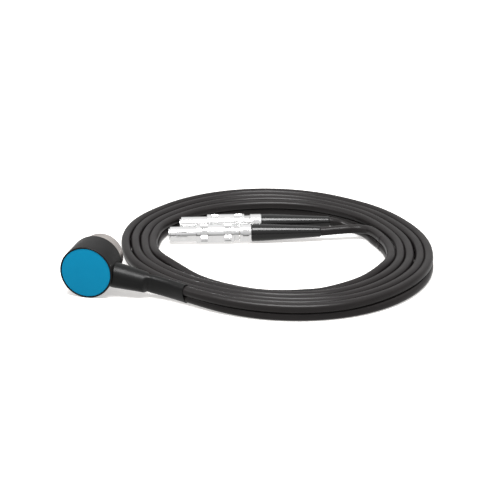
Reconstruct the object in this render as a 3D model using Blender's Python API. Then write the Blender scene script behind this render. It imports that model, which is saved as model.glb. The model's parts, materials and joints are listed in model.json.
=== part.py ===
"""Dual-element ultrasonic thickness probe with its twin coaxial lead and two push-pull plugs.

The probe lies on its side on the table. Its axis runs along +Y, from the label cap to the wear
face, and the lead leaves it towards +X. The origin is on the table under the middle of the probe.
"""
import math

import bmesh
import bpy
from mathutils import Matrix, Quaternion, Vector

MM = 0.001

# Clearances between pieces that touch on the real object
SEAT_GAP = 0.3 * MM
SNUG_GAP = 0.15 * MM

# Housing, measured along the probe's axis from the label face
HOUSING_R = 8.25 * MM
HOUSING_L = 10.2 * MM
HOUSING_WALL = 1.1 * MM
HOUSING_BACK = 1.2 * MM
HOUSING_EDGE = 0.3 * MM
LABEL_RIM = 0.45 * MM
LABEL_T = 0.3 * MM
LABEL_SUNK = 0.1 * MM

# Wear end: steel ring, two delay lines and the cork between them
NOSE_PROUD = 6.1 * MM
NOSE_WALL = 0.8 * MM
NOSE_EDGE = 0.35 * MM
DELAY_L = 6.4 * MM
ROOF_ANGLE = math.radians(3.5)
CORK_T = 0.5 * MM
CORK_SUNK = 0.15 * MM
PIEZO_EDGE = 0.7 * MM
PIEZO_T = 0.4 * MM
BACKING_L = 3.2 * MM
BOARD_T = 0.6 * MM
COIL_CORE_R = 1.2 * MM
COIL_CORE_FLANGE_R = 1.7 * MM
COIL_CORE_FLANGE_T = 0.4 * MM

# Cable exit in the housing's side
EXIT_ALONG = 4.95 * MM
EXIT_DIP = math.radians(11.0)
EXIT_CUT_REACH = 4.0 * MM
FERRULE_IN_R = 3.0 * MM
FERRULE_OUT_R = 2.5 * MM
FERRULE_BORE_R = 2.2 * MM
FERRULE_INSIDE = 0.8 * MM
FERRULE_L = 9.0 * MM

# Heat-shrink sleeve: round over the ferrule, then pressed flat over the twin lead
SLEEVE_ROOT_R = 3.95 * MM
SLEEVE_STEP_R = 3.15 * MM
SLEEVE_HALF_H = 3.0 * MM
SLEEVE_HALF_T = 1.75 * MM
SLEEVE_WALL = 0.3 * MM
SLEEVE_STEP_L = 1.6 * MM
SLEEVE_LEAN = math.radians(20.0)

# Bends of the sleeve, as shares of the way from the ferrule's end to the sleeve's mouth
SLEEVE_BENDS = [
    (0.30, 0.02, 0.46),
    (0.66, 0.38, 0.86),
]

# Twin lead: two round cords joined side by side, standing on edge
CORD_D = 2.8 * MM
TWIN_H = 2.0 * CORD_D
TUBE_D = 2.5 * MM
LEAD_STRAIGHT = 1.2 * MM

# The coil, as a polar formula about its middle
COIL_X = 48.15 * MM
COIL_Y = 39.35 * MM
COIL_R = 50.7 * MM
COIL_OVAL = 3.0 * MM
COIL_OVAL_AT = math.radians(-41.5)
COIL_LOBE = 0.54 * MM
COIL_LOBE_AT = math.radians(-42.7)
COIL_PITCH = 3.05 * MM
COIL_START = math.radians(-110.5)
COIL_TURNS = 4.373

# Slack at the back of the coil: the outer turn stands out and each further turn lies more inward
SLACK_OUTER = 1.35 * MM
SLACK_PER_TURN = 1.0 * MM
SLACK_AT = math.radians(116.0)
SLACK_SPREAD = math.radians(120.0)
COIL_FACETS = 108
COIL_MARKS_APART = 0.01

# Plugs, measured along each plug's axis from its tip
PLUG_AXIS_Z = 3.25 * MM
PLUG_BARREL_R = 2.5 * MM
PLUG_BARREL_L = 9.0 * MM
PLUG_WALL = 0.35 * MM
PLUG_CORE_PROUD = 0.5 * MM
PLUG_COLLAR_L = 1.2 * MM
RELEASE_R = 3.2 * MM
RELEASE_L = 12.6 * MM
RELEASE_TRAVEL = 1.2 * MM
RELEASE_RIBS_AT = 4.5 * MM
RELEASE_GROOVES = 4
RELEASE_GROOVE_T = 0.25 * MM
NECK_R = 2.55 * MM
NECK_L = 2.0 * MM
NUT_R = 3.05 * MM
NUT_L = 3.8 * MM
NUT_FLATS = 2.75 * MM
NUT_FLAT_START = 0.95 * MM
NUT_FLAT_END = 3.05 * MM
CONTACT_R = 0.4 * MM
CONTACT_SUNK = 0.9 * MM
INSULATOR_SUNK = 1.5 * MM
BOOT_ROOT_R = 2.9 * MM
BOOT_TIP_R = 1.65 * MM
BOOT_L = 23.0 * MM
BOOT_WAIST = 2.8 * MM
BOOT_SPIGOT_L = 1.6 * MM
LATCH_W = 1.3 * MM
LATCH_L = 3.6 * MM
LATCH_SLOT = 0.25 * MM
LATCH_FROM_TIP = 2.6 * MM
LATCH_HOOK = 0.3 * MM
LATCH_HOOK_L = 0.9 * MM

# Where each plug lies: its tip in plan, the heading of its axis, and how far it has rolled over
PLUG_ROLL = math.radians(73.0)
PLUG_FRONT_TIP = (11.45 * MM, 41.7 * MM)
PLUG_FRONT_HEADING = math.radians(16.6)
PLUG_REAR_TIP = (12.55 * MM, 51.5 * MM)
PLUG_REAR_HEADING = math.radians(16.6)

# Chosen route points of the two single cords between the split and the boots, in metres
LEAD_FRONT_ROUTE = [
    (0.07755, 0.05680, 0.0042),
    (0.07505, 0.05970, 0.0041),
    (0.07165, 0.06130, 0.0039),
    (0.06795, 0.05980, 0.0036),
    (0.06405, 0.05760, 0.0034),
]
LEAD_REAR_ROUTE = [
    (0.07755, 0.05680, 0.0014),
    (0.07505, 0.06040, 0.0014),
    (0.07185, 0.06380, 0.0016),
    (0.06825, 0.06610, 0.0022),
    (0.06495, 0.06710, 0.0029),
]

ROUND_SEGMENTS = 48
FERRULE_SEGMENTS = 32
PLUG_SEGMENTS = 24
SMALL_SEGMENTS = 20

# Lengths that follow from the ones above
PROBE_L = HOUSING_L + NOSE_PROUD
BORE_R = HOUSING_R - HOUSING_WALL
LABEL_SEAT_R = HOUSING_R - LABEL_RIM
LABEL_R = LABEL_SEAT_R - SNUG_GAP
LABEL_FLOOR = LABEL_SUNK + LABEL_T + SEAT_GAP
BORE_FLOOR = LABEL_FLOOR + HOUSING_BACK
NOSE_R = BORE_R - SEAT_GAP
NOSE_BORE_R = NOSE_R - NOSE_WALL
NOSE_START = EXIT_ALONG + FERRULE_IN_R + 2.0 * SEAT_GAP
CORE_R = NOSE_BORE_R - SEAT_GAP
PIEZO_R = CORE_R - PIEZO_EDGE
DELAY_START = PROBE_L - DELAY_L
BOARD_START = BORE_FLOOR + SEAT_GAP
EXIT_AXIS = Vector((math.cos(EXIT_DIP), 0.0, -math.sin(EXIT_DIP)))
EXIT_POINT = Vector((0.0, EXIT_ALONG - PROBE_L / 2.0, HOUSING_R)) + EXIT_AXIS * HOUSING_R
RELEASE_START = PLUG_BARREL_L + SNUG_GAP
RELEASE_BORE_R = PLUG_BARREL_R + SNUG_GAP
NECK_START = RELEASE_START + RELEASE_L + SNUG_GAP - NECK_L + RELEASE_TRAVEL + SEAT_GAP
NUT_START = NECK_START + NECK_L + SNUG_GAP
PLUG_LENGTH = NUT_START + NUT_L + SNUG_GAP
BARREL_BORE_R = PLUG_BARREL_R - PLUG_WALL
SHANK_R = BARREL_BORE_R - SEAT_GAP
SHANK_BORE_R = SHANK_R - PLUG_WALL
NUT_BORE_R = NECK_R - PLUG_WALL
CORD_BORE_R = TUBE_D / 2.0 + SNUG_GAP


def clear_scene():
    for item in list(bpy.data.objects):
        bpy.data.objects.remove(item, do_unlink=True)


def make_material(name, colour, roughness, metallic=0.0):
    material = bpy.data.materials.new(name)
    material.use_nodes = True
    shader = material.node_tree.nodes["Principled BSDF"]
    shader.inputs["Base Color"].default_value = (*colour, 1.0)
    shader.inputs["Roughness"].default_value = roughness
    shader.inputs["Metallic"].default_value = metallic
    return material


def make_materials():
    return {
        "housing": make_material("black_abs", (0.030, 0.030, 0.031), 0.50),
        "label": make_material("blue_label_film", (0.008, 0.203, 0.360), 0.35),
        "steel": make_material("turned_stainless_steel", (0.58, 0.56, 0.53), 0.30, 1.0),
        "delay": make_material("amber_polyetherimide", (0.45, 0.20, 0.04), 0.20),
        "cork": make_material("cork_sheet", (0.40, 0.24, 0.12), 0.90),
        "piezo": make_material("silvered_lead_zirconate", (0.62, 0.58, 0.50), 0.45, 0.6),
        "backing": make_material("tungsten_loaded_epoxy", (0.07, 0.07, 0.08), 0.80),
        "board": make_material("glass_epoxy_board", (0.03, 0.16, 0.06), 0.50),
        "ferrite": make_material("ferrite_bobbin", (0.05, 0.05, 0.05), 0.60),
        "brass": make_material("turned_brass", (0.56, 0.38, 0.13), 0.35, 1.0),
        "shrink": make_material("black_heat_shrink", (0.018, 0.018, 0.020), 0.42),
        "jacket": make_material("dark_grey_pvc_jacket", (0.075, 0.072, 0.072), 0.50),
        "plating": make_material("matt_chrome_plating", (0.75, 0.75, 0.76), 0.22, 1.0),
        "insulator": make_material("white_ptfe", (0.80, 0.79, 0.76), 0.50),
        "contact": make_material("gold_plated_contact", (0.78, 0.55, 0.20), 0.25, 1.0),
        "boot": make_material("black_bend_relief_rubber", (0.022, 0.022, 0.023), 0.38),
    }


def add_object(name, data, material, parent=None):
    """Put a mesh or curve in the scene under one name, with one material."""
    item = bpy.data.objects.new(name, data)
    data.materials.append(material)
    bpy.context.scene.collection.objects.link(item)
    item.parent = parent
    return item


def finish_mesh(name, shape, smooth_angle=40.0):
    """Close a bmesh into a mesh with outward faces, smooth where it is round."""
    bmesh.ops.recalc_face_normals(shape, faces=shape.faces)
    mesh = bpy.data.meshes.new(name)
    shape.to_mesh(mesh)
    shape.free()
    mesh.shade_smooth()
    mesh.set_sharp_from_angle(angle=math.radians(smooth_angle))
    return mesh


def turned_mesh(name, profile, segments):
    """Revolve a profile of (radius, along) points about +Z.

    A profile that starts and ends on the axis gives a solid. Any other is a closed loop, a tube.
    """
    shape = bmesh.new()
    rings = []
    for radius, along in profile:
        if radius == 0.0:
            rings.append([shape.verts.new((0.0, 0.0, along))] * segments)
            continue
        ring = []
        for step in range(segments):
            angle = 2.0 * math.pi * step / segments
            ring.append(shape.verts.new((radius * math.cos(angle), radius * math.sin(angle), along)))
        rings.append(ring)
    pairs = list(zip(rings, rings[1:]))
    if profile[0][0] != 0.0:
        pairs.append((rings[-1], rings[0]))
    for lower, upper in pairs:
        for step in range(segments):
            after = (step + 1) % segments
            corners = []
            for vertex in (lower[step], lower[after], upper[after], upper[step]):
                if vertex not in corners:
                    corners.append(vertex)
            shape.faces.new(corners)
    return finish_mesh(name, shape)


def add_turned(name, profile, material, parent, segments=ROUND_SEGMENTS):
    return add_object(name, turned_mesh(name, profile, segments), material, parent)


def add_cutter(name, mesh, parent=None):
    """A solid that only cuts others: drawn as wire and left out of renders."""
    item = bpy.data.objects.new(name, mesh)
    bpy.context.scene.collection.objects.link(item)
    item.parent = parent
    item.hide_render = True
    item.display_type = "WIRE"
    return item


def cut(item, cutter, operation="DIFFERENCE"):
    change = item.modifiers.new("cut_" + cutter.name, "BOOLEAN")
    change.operation = operation
    change.solver = "EXACT"
    change.object = cutter


def rod_profile(radius, start, end):
    return [(0.0, start), (radius, start), (radius, end), (0.0, end)]


def tube_profile(outer, inner, start, end):
    return [(inner, start), (outer, start), (outer, end), (inner, end)]


def box_mesh(name, low, high):
    shape = bmesh.new()
    bmesh.ops.create_cube(shape, size=1.0)
    size = Vector(high) - Vector(low)
    middle = (Vector(high) + Vector(low)) / 2.0
    for vertex in shape.verts:
        vertex.co = Vector((vertex.co.x * size.x, vertex.co.y * size.y, vertex.co.z * size.z)) + middle
    return finish_mesh(name, shape)


def facing(direction, roll=0.0):
    """The turn that brings +Z onto a direction, with a roll about it."""
    turn = Vector(direction).to_track_quat("Z", "Y") @ Quaternion((0.0, 0.0, 1.0), roll)
    return turn.to_euler()


def add_axis(name, location, direction, roll=0.0):
    """An empty whose +Z looks along an axis that pieces are turned about."""
    empty = bpy.data.objects.new(name, None)
    bpy.context.scene.collection.objects.link(empty)
    empty.location = location
    empty.rotation_euler = facing(direction, roll)
    return empty


# Housing and label

def add_housing(material, axis):
    """A cup with a shallow seat for the label in its closed end and the wear end in its mouth."""
    profile = [
        (0.0, LABEL_FLOOR),
        (LABEL_SEAT_R, LABEL_FLOOR),
        (LABEL_SEAT_R, 0.0),
        (HOUSING_R - HOUSING_EDGE, 0.0),
        (HOUSING_R, HOUSING_EDGE),
        (HOUSING_R, HOUSING_L - HOUSING_EDGE),
        (HOUSING_R - HOUSING_EDGE, HOUSING_L),
        (BORE_R, HOUSING_L),
        (BORE_R, BORE_FLOOR),
        (0.0, BORE_FLOOR),
    ]
    housing = add_turned("housing", profile, material, axis)
    bore = rod_profile(FERRULE_IN_R + SEAT_GAP, -EXIT_CUT_REACH, EXIT_CUT_REACH)
    hole = turned_mesh("exit_hole", bore, FERRULE_SEGMENTS)
    cutter = add_cutter("exit_hole", hole)
    cutter.location = EXIT_POINT
    cutter.rotation_euler = facing(EXIT_AXIS)
    cut(housing, cutter)


def add_label(material, axis):
    profile = rod_profile(LABEL_R, LABEL_SUNK, LABEL_SUNK + LABEL_T)
    add_turned("label_plate", profile, material, axis)


# Wear end

def half_disc_mesh(name, radius, start, end, side, start_slope=0.0, end_slope=0.0, steps=20):
    """A D-shaped block beside the cork. A slope leans its end face away from the cork."""
    flat = CORK_T / 2.0 + SNUG_GAP
    reach = math.acos(flat / radius)
    outline = []
    for step in range(steps + 1):
        angle = -reach + 2.0 * reach * step / steps
        outline.append((radius * math.cos(angle), radius * math.sin(angle)))
    shape = bmesh.new()
    lower = []
    upper = []
    for x, y in outline:
        lean = x - flat
        lower.append(shape.verts.new((side * x, y, start + lean * math.tan(start_slope))))
        upper.append(shape.verts.new((side * x, y, end + lean * math.tan(end_slope))))
    shape.faces.new(lower)
    shape.faces.new(upper)
    count = len(outline)
    for step in range(count):
        after = (step + 1) % count
        shape.faces.new((lower[step], lower[after], upper[after], upper[step]))
    return finish_mesh(name, shape)


def add_wear_end(materials, axis):
    edge = NOSE_EDGE
    profile = [
        (NOSE_BORE_R, NOSE_START),
        (NOSE_R, NOSE_START),
        (NOSE_R, PROBE_L - edge),
        (NOSE_R - edge, PROBE_L),
        (NOSE_BORE_R, PROBE_L),
    ]
    add_turned("nose_ring", profile, materials["steel"], axis)

    piezo_end = DELAY_START - SNUG_GAP
    piezo_start = piezo_end - PIEZO_T
    backing_end = piezo_start - SNUG_GAP
    backing_start = backing_end - BACKING_L
    for side, word in ((-1.0, "left"), (1.0, "right")):
        delay = half_disc_mesh(
            "delay_line_" + word, CORE_R, DELAY_START, PROBE_L, side, start_slope=ROOF_ANGLE)
        add_object("delay_line_" + word, delay, materials["delay"], axis)
        piezo = half_disc_mesh(
            "piezo_element_" + word, PIEZO_R, piezo_start, piezo_end, side, ROOF_ANGLE, ROOF_ANGLE)
        add_object("piezo_element_" + word, piezo, materials["piezo"], axis)
        backing = half_disc_mesh(
            "backing_block_" + word, CORE_R, backing_start, backing_end, side,
            end_slope=ROOF_ANGLE)
        add_object("backing_block_" + word, backing, materials["backing"], axis)

    half_width = math.sqrt(CORE_R ** 2 - (CORK_T / 2.0) ** 2)
    cork = box_mesh(
        "cork_barrier",
        (-CORK_T / 2.0, -half_width, backing_start),
        (CORK_T / 2.0, half_width, PROBE_L - CORK_SUNK))
    add_object("cork_barrier", cork, materials["cork"], axis)
    return backing_start


def add_matching_network(materials, axis, backing_start):
    """The small board behind the backings, with one tuning inductor for each element."""
    board_end = BOARD_START + BOARD_T
    profile = rod_profile(CORE_R, BOARD_START, board_end)
    add_turned("wiring_board", profile, materials["board"], axis)
    low = board_end + SNUG_GAP
    high = backing_start - SEAT_GAP
    flange = COIL_CORE_FLANGE_T
    bobbin = [
        (0.0, low),
        (COIL_CORE_FLANGE_R, low),
        (COIL_CORE_FLANGE_R, low + flange),
        (COIL_CORE_R, low + flange),
        (COIL_CORE_R, high - flange),
        (COIL_CORE_FLANGE_R, high - flange),
        (COIL_CORE_FLANGE_R, high),
        (0.0, high),
    ]
    for side, word in ((-1.0, "left"), (1.0, "right")):
        name = "tuning_inductor_" + word
        inductor = add_turned(name, bobbin, materials["ferrite"], axis, SMALL_SEGMENTS)
        inductor.location = (side * CORE_R / 2.0, 0.0, 0.0)


# Curves that the lead follows

def slack(wound):
    """How far a turn stands off the even winding, in the part of the coil that is slack."""
    off = math.remainder(COIL_START + wound - SLACK_AT, 2.0 * math.pi)
    if abs(off) > SLACK_SPREAD / 2.0:
        return 0.0
    share = math.cos(math.pi * off / SLACK_SPREAD) ** 2
    return share * (SLACK_OUTER - SLACK_PER_TURN * wound / (2.0 * math.pi))


def coil_radius(wound):
    """Radius of the lead's middle line after winding on by an angle from the coil's start."""
    angle = COIL_START + wound
    oval = COIL_OVAL * math.cos(2.0 * (angle - COIL_OVAL_AT))
    lobe = COIL_LOBE * math.cos(3.0 * (angle - COIL_LOBE_AT))
    even = COIL_R + oval + lobe - COIL_PITCH * wound / (2.0 * math.pi)
    return even + slack(wound)


def coil_point(wound, height, aside=0.0):
    angle = COIL_START + wound
    radius = coil_radius(wound) + aside
    return Vector((COIL_X + radius * math.cos(angle), COIL_Y + radius * math.sin(angle), height))


def round_heading(wound):
    """The direction straight round the coil, square to its step faces."""
    angle = COIL_START + wound
    return Vector((-math.sin(angle), math.cos(angle), 0.0))


def smooth_route(points, steps):
    """Points on a Catmull-Rom curve that passes through the chosen ones."""
    padded = [points[0] * 2.0 - points[1]] + list(points) + [points[-1] * 2.0 - points[-2]]
    route = []
    for first in range(len(points) - 1):
        a, b, c, d = padded[first:first + 4]
        for step in range(steps):
            t = step / steps
            route.append(0.5 * (
                2.0 * b + (c - a) * t + (2.0 * a - 5.0 * b + 4.0 * c - d) * t ** 2
                + (3.0 * b - a - 3.0 * c + d) * t ** 3))
    route.append(points[-1])
    return route


def sleeve_route():
    """From inside the housing straight along the ferrule, then down to the coil's start."""
    leaning = (SLEEVE_HALF_H - SLEEVE_HALF_T) * math.sin(SLEEVE_LEAN)
    reach_in = SLEEVE_HALF_T * math.cos(SLEEVE_LEAN) + leaning + SEAT_GAP
    aside = reach_in - (COIL_PITCH - CORD_D / 2.0)
    mouth = coil_point(0.0, SLEEVE_HALF_H, aside) - round_heading(0.0) * SEAT_GAP
    ferrule_end = EXIT_POINT + EXIT_AXIS * FERRULE_L
    gap = mouth - ferrule_end
    points = [
        EXIT_POINT - EXIT_AXIS * FERRULE_INSIDE,
        EXIT_POINT + EXIT_AXIS * FERRULE_L / 2.0,
        ferrule_end,
    ]
    for share in SLEEVE_BENDS:
        points.append(ferrule_end + gap * Vector(share))
    return smooth_route(points + [mouth], 4)


def sleeve_stations():
    """Middle, side direction and distance from the housing for each section of the sleeve."""
    route = sleeve_route()
    travelled = -FERRULE_INSIDE
    stations = []
    for index, point in enumerate(route):
        if index > 0:
            travelled += (point - route[index - 1]).length
        if index == 0:
            heading = EXIT_AXIS
        elif index == len(route) - 1:
            heading = round_heading(0.0)
        else:
            heading = (route[index + 1] - route[index - 1]).normalized()
        stations.append((point, heading, travelled))
    return stations


def flatness(travelled):
    """0 where the sleeve is round over the ferrule, 1 where it lies flat on the twin lead."""
    ratio = (travelled - FERRULE_L) / SLEEVE_STEP_L
    ratio = min(max(ratio, 0.0), 1.0)
    return ratio * ratio * (3.0 - 2.0 * ratio)


def ring_points(point, heading, half_h, half_t, lean, segments):
    """A flat-sided oval section, square to the heading, with its long side near upright."""
    side = heading.cross(Vector((0.0, 0.0, 1.0))).normalized()
    upright = side.cross(heading).normalized()
    turn = Matrix.Rotation(lean, 3, heading)
    side = turn @ side
    upright = turn @ upright
    ring = []
    for step in range(segments):
        angle = 2.0 * math.pi * (step + 0.5) / segments
        straight = math.copysign(half_h - half_t, math.sin(angle))
        across = half_t * math.cos(angle)
        up = half_t * math.sin(angle) + straight
        ring.append(point + side * across + upright * up)
    return ring


def loft_mesh(name, rings, hollow_rings=None):
    """Skin a row of sections. With inner sections too, the result is a sleeve."""
    shape = bmesh.new()
    outer = [[shape.verts.new(point) for point in ring] for ring in rings]
    count = len(rings[0])
    skins = [outer]
    if hollow_rings:
        inner = [[shape.verts.new(point) for point in ring] for ring in hollow_rings]
        skins.append(inner)
    for skin in skins:
        for lower, upper in zip(skin, skin[1:]):
            for step in range(count):
                after = (step + 1) % count
                shape.faces.new((lower[step], lower[after], upper[after], upper[step]))
    for end in (0, -1):
        if hollow_rings:
            for step in range(count):
                after = (step + 1) % count
                shape.faces.new((outer[end][step], outer[end][after],
                                 inner[end][after], inner[end][step]))
        else:
            shape.faces.new(outer[end])
    return finish_mesh(name, shape)


def add_strain_relief(materials, probe_axis):
    """The ferrule in the housing's side, the sleeve shrunk over it, and the lead inside both."""
    ferrule_axis = add_axis("ferrule_axis", EXIT_POINT, EXIT_AXIS)
    inner_end = -(HOUSING_R - BORE_R) - FERRULE_INSIDE
    ferrule = [
        (FERRULE_BORE_R, inner_end),
        (FERRULE_IN_R, inner_end),
        (FERRULE_IN_R, SEAT_GAP),
        (FERRULE_OUT_R, FERRULE_L),
        (FERRULE_BORE_R, FERRULE_L),
    ]
    add_turned("cable_ferrule", ferrule, materials["brass"], ferrule_axis, FERRULE_SEGMENTS)

    stripped_h = FERRULE_BORE_R - SNUG_GAP
    free_h = SLEEVE_HALF_H - SLEEVE_WALL - SNUG_GAP
    free_t = SLEEVE_HALF_T - SLEEVE_WALL - SNUG_GAP
    outer = []
    inner = []
    core = []
    for point, heading, travelled in sleeve_stations():
        flat = flatness(travelled)
        along = min(max(travelled / FERRULE_L, 0.0), 1.0)
        round_r = SLEEVE_ROOT_R + (SLEEVE_STEP_R - SLEEVE_ROOT_R) * along
        half_h = round_r + (SLEEVE_HALF_H - round_r) * flat
        half_t = round_r + (SLEEVE_HALF_T - round_r) * flat
        lean = SLEEVE_LEAN * flat
        hollow_h = half_h - SLEEVE_WALL
        hollow_t = half_t - SLEEVE_WALL
        core_h = stripped_h + (free_h - stripped_h) * flat
        outer.append(ring_points(point, heading, half_h, half_t, lean, PLUG_SEGMENTS))
        inner.append(ring_points(point, heading, hollow_h, hollow_t, lean, PLUG_SEGMENTS))
        core.append(ring_points(point, heading, core_h, free_t, lean, SMALL_SEGMENTS))
    sleeve = add_object(
        "relief_sleeve", loft_mesh("relief_sleeve", outer, inner), materials["shrink"])
    add_object("cable_entry", loft_mesh("cable_entry", core), materials["jacket"])

    body = rod_profile(HOUSING_R + SEAT_GAP, 0.0, HOUSING_L)
    body_mesh = turned_mesh("housing_clearance", body, ROUND_SEGMENTS)
    cut(sleeve, add_cutter("housing_clearance", body_mesh, probe_axis))


# Coil and single cords

def add_coil(material):
    """The outer shape of the wound twin lead: a ring with a step where the lead starts and ends.

    Between the two steps, each slice of the ring is a four-sided block. The slice beside a step
    takes the step's extra corner.
    """
    full = 2.0 * math.pi
    end = COIL_TURNS * full
    half = CORD_D / 2.0
    wound_marks = [full * step / COIL_FACETS for step in range(COIL_FACETS)]
    inner_step = end % full
    wound_marks = [mark for mark in wound_marks if abs(mark - inner_step) > COIL_MARKS_APART]
    wound_marks = sorted(wound_marks + [inner_step])
    laps = math.floor(end / full)

    shape = bmesh.new()

    def post(wound, aside):
        low = shape.verts.new(coil_point(wound, 0.0, aside))
        high = shape.verts.new(coil_point(wound, TWIN_H, aside))
        return low, high

    outside = [post(mark, half) for mark in wound_marks]
    outer_heel = post(full, half)
    inside = []
    for mark in wound_marks:
        lap = laps if mark <= inner_step else laps - 1
        inside.append(post(mark + lap * full, -half))
    step_index = wound_marks.index(inner_step)
    inner_heel = post(end - full, -half)

    count = len(wound_marks)
    for index in range(count):
        after = (index + 1) % count
        outer_after = outside[after] if after else outer_heel
        inner_here = inner_heel if index == step_index else inside[index]
        around = [inner_here]
        if index == 0:
            around.append(outer_heel)
        around += [outside[index], outer_after]
        if after == step_index:
            around.append(inner_heel)
        around.append(inside[after])
        shape.faces.new([low for low, high in around])
        shape.faces.new([high for low, high in around])
        for one, other in ((outside[index], outer_after), (inner_here, inside[after])):
            shape.faces.new((one[0], other[0], other[1], one[1]))
    for one, other in ((outer_heel, outside[0]), (inner_heel, inside[step_index])):
        shape.faces.new((one[0], other[0], other[1], one[1]))
    add_object("cable_coil", finish_mesh("cable_coil", shape), material)


def lead_start(height):
    """The first two points of a single cord: square off the coil's inner step."""
    wound = COIL_TURNS * 2.0 * math.pi
    heading = round_heading(wound)
    start = coil_point(wound, height) + heading * SEAT_GAP
    return [start, start + heading * LEAD_STRAIGHT]


def plug_place(tip, heading, along):
    return Vector((
        tip[0] + along * math.cos(heading),
        tip[1] + along * math.sin(heading),
        PLUG_AXIS_Z))


def add_lead(name, route, start_z, tip, heading, material):
    """One single cord, from the coil's inner end to the mouth of its boot."""
    mouth = plug_place(tip, heading, PLUG_LENGTH + BOOT_L + SEAT_GAP)
    points = lead_start(start_z) + [Vector(point) for point in route] + [mouth]
    smooth = smooth_route(points, 4)
    curve = bpy.data.curves.new(name, "CURVE")
    curve.dimensions = "3D"
    curve.bevel_depth = TUBE_D / 2.0
    curve.bevel_resolution = 2
    curve.use_fill_caps = True
    spline = curve.splines.new("POLY")
    spline.points.add(len(smooth) - 1)
    for target, point in zip(spline.points, smooth):
        target.co = (*point, 1.0)
    add_object(name, curve, material)


# Push-pull plugs

def add_latch_sleeve(name, material, axis):
    """The visible front barrel. Two tongues are cut free in it, each with a raised hook."""
    start = PLUG_CORE_PROUD
    end = PLUG_BARREL_L + PLUG_COLLAR_L
    profile = [
        (BARREL_BORE_R, start),
        (PLUG_BARREL_R - SNUG_GAP, start),
        (PLUG_BARREL_R, start + SNUG_GAP),
        (PLUG_BARREL_R, end),
        (BARREL_BORE_R, end),
    ]
    barrel = add_turned(name, profile, material, axis, PLUG_SEGMENTS)
    tongue_end = LATCH_FROM_TIP + LATCH_L
    half = LATCH_W / 2.0
    hook_start = LATCH_FROM_TIP + SEAT_GAP
    for side, word in ((-1.0, "near"), (1.0, "far")):
        inner = side * (BARREL_BORE_R - SNUG_GAP)
        outer = side * (PLUG_BARREL_R + LATCH_HOOK)
        low_y, high_y = min(inner, outer), max(inner, outer)
        slots = [
            ("low", -half - LATCH_SLOT, -half, LATCH_FROM_TIP, tongue_end),
            ("high", half, half + LATCH_SLOT, LATCH_FROM_TIP, tongue_end),
            ("front", -half - LATCH_SLOT, half + LATCH_SLOT,
             LATCH_FROM_TIP - LATCH_SLOT, LATCH_FROM_TIP),
        ]
        for place, low_x, high_x, low_z, high_z in slots:
            slot = box_mesh(name + "_slot", (low_x, low_y, low_z), (high_x, high_y, high_z))
            cut(barrel, add_cutter(f"{name}_slot_{word}_{place}", slot, axis))
        root = side * (PLUG_BARREL_R - SNUG_GAP)
        hook = box_mesh(
            name + "_hook",
            (-half + SNUG_GAP, min(root, outer), hook_start),
            (half - SNUG_GAP, max(root, outer), hook_start + LATCH_HOOK_L))
        cut(barrel, add_cutter(f"{name}_hook_{word}", hook, axis), "UNION")


def add_plug_core(name, material, axis):
    """The plug's turned core: front tube, collar under the sleeve, shank, and threaded neck."""
    collar_start = PLUG_BARREL_L + PLUG_COLLAR_L + SNUG_GAP
    collar_end = collar_start + PLUG_COLLAR_L
    collar_r = PLUG_BARREL_R - SNUG_GAP
    profile = [
        (SHANK_BORE_R, 0.0),
        (SHANK_R, 0.0),
        (SHANK_R, collar_start),
        (collar_r, collar_start),
        (collar_r, collar_end),
        (SHANK_R, collar_end),
        (SHANK_R, NECK_START),
        (NECK_R, NECK_START),
        (NECK_R, NECK_START + NECK_L),
        (SHANK_BORE_R, NECK_START + NECK_L),
    ]
    add_turned(name, profile, material, axis, PLUG_SEGMENTS)


def add_release_sleeve(name, material, axis):
    """The outer grip that slides back on the barrel and the neck to free the latch."""
    end = RELEASE_START + RELEASE_L
    groove = RELEASE_GROOVE_T
    profile = [
        (RELEASE_BORE_R, RELEASE_START),
        (RELEASE_R - SEAT_GAP, RELEASE_START),
        (RELEASE_R, RELEASE_START + SEAT_GAP),
    ]
    for place in range(RELEASE_GROOVES):
        at = RELEASE_START + RELEASE_RIBS_AT + place * 4.0 * groove
        profile += [
            (RELEASE_R, at),
            (RELEASE_R - groove, at + groove * 0.5),
            (RELEASE_R - groove, at + groove * 1.5),
            (RELEASE_R, at + groove * 2.0),
        ]
    profile += [
        (RELEASE_R, end - SEAT_GAP),
        (RELEASE_R - SEAT_GAP, end),
        (RELEASE_BORE_R, end),
    ]
    add_turned(name, profile, material, axis, PLUG_SEGMENTS)


def add_contact_set(stem, materials, axis):
    """White insulator with the centre pin held through it."""
    insulator_r = SHANK_BORE_R - SNUG_GAP
    bore = CONTACT_R + SNUG_GAP
    end = PLUG_BARREL_L + PLUG_COLLAR_L
    insulator = tube_profile(insulator_r, bore, INSULATOR_SUNK, end)
    add_turned(stem + "_insulator", insulator, materials["insulator"], axis, SMALL_SEGMENTS)
    contact = [
        (0.0, CONTACT_SUNK),
        (CONTACT_R / 2.0, CONTACT_SUNK),
        (CONTACT_R, CONTACT_SUNK + CONTACT_R / 2.0),
        (CONTACT_R, end + SEAT_GAP),
        (0.0, end + SEAT_GAP),
    ]
    add_turned(stem + "_centre_contact", contact, materials["contact"], axis, SMALL_SEGMENTS)


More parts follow.
